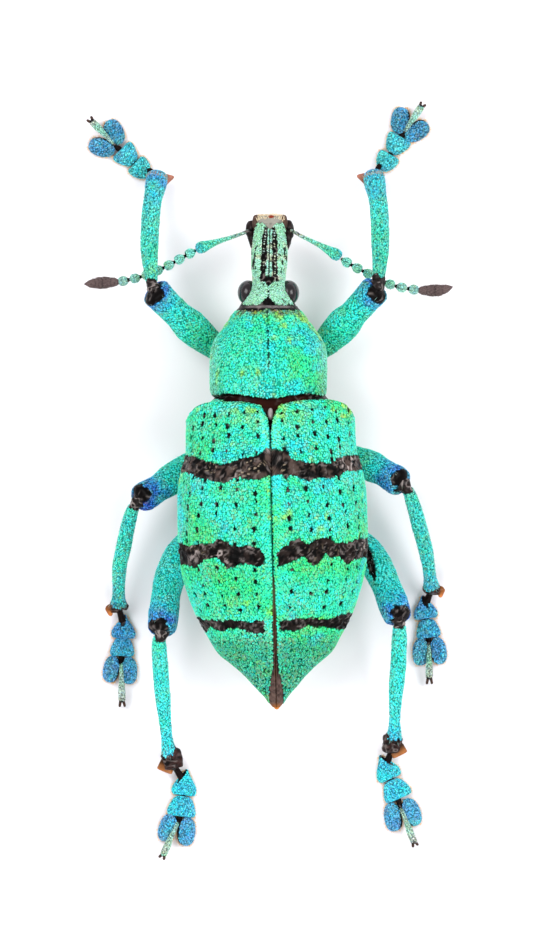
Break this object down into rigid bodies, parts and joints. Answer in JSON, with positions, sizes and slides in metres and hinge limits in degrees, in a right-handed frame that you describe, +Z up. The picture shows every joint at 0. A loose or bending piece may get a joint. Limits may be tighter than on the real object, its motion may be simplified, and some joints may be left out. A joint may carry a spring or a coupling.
{
  "type": "weevil beetle model",
  "caption": "Life-size model of a turquoise weevil beetle with black cross bands, clubbed feelers and spread legs, standing on flat soles.",
  "frame": {"origin": "centre of the bounding box's base, on the surface that the feet stand on", "axes": "+Y towards the head along the body, +X to the beetle's right, +Z up"},
  "size_m": [0.021, 0.0433, 0.0099],
  "materials": {
    "green_scales": "dense metallic turquoise-green scales over black cuticle",
    "blue_scales": "blue scales with a pale orange hair fringe",
    "black_cuticle": "bare polished black cuticle",
    "brown_horn": "smooth red-brown horn",
    "felted_club": "fine dark brown felt"
  },
  "bodies": {
    "root": {"abdomen": "green_scales", "antenna_left_club": "felted_club", "antenna_left_funicle": "green_scales", "antenna_left_scape": "green_scales", "antenna_right_club": "felted_club", "antenna_right_funicle": "green_scales", "antenna_right_scape": "green_scales", "elytron_left": "green_scales", "elytron_right": "green_scales", "eye_left": "black_cuticle", "eye_right": "black_cuticle", "head": "green_scales", "leg_front_left_coxa": "black_cuticle", "leg_front_left_femur": "green_scales", "leg_front_left_tarsus": "blue_scales", "leg_front_left_tibia": "green_scales", "leg_front_right_coxa": "black_cuticle", "leg_front_right_femur": "green_scales", "leg_front_right_tarsus": "blue_scales", "leg_front_right_tibia": "green_scales", "leg_hind_left_coxa": "black_cuticle", "leg_hind_left_femur": "green_scales", "leg_hind_left_tarsus": "blue_scales", "leg_hind_left_tibia": "green_scales", "leg_hind_right_coxa": "black_cuticle", "leg_hind_right_femur": "green_scales", "leg_hind_right_tarsus": "blue_scales", "leg_hind_right_tibia": "green_scales", "leg_middle_left_coxa": "black_cuticle", "leg_middle_left_femur": "green_scales", "leg_middle_left_tarsus": "blue_scales", "leg_middle_left_tibia": "green_scales", "leg_middle_right_coxa": "black_cuticle", "leg_middle_right_femur": "green_scales", "leg_middle_right_tarsus": "blue_scales", "leg_middle_right_tibia": "green_scales", "mandible_left": "brown_horn", "mandible_right": "brown_horn", "pronotum": "green_scales", "rostrum": "green_scales", "scutellum": "black_cuticle", "thorax": "green_scales"}
  },
  "joints": []
}
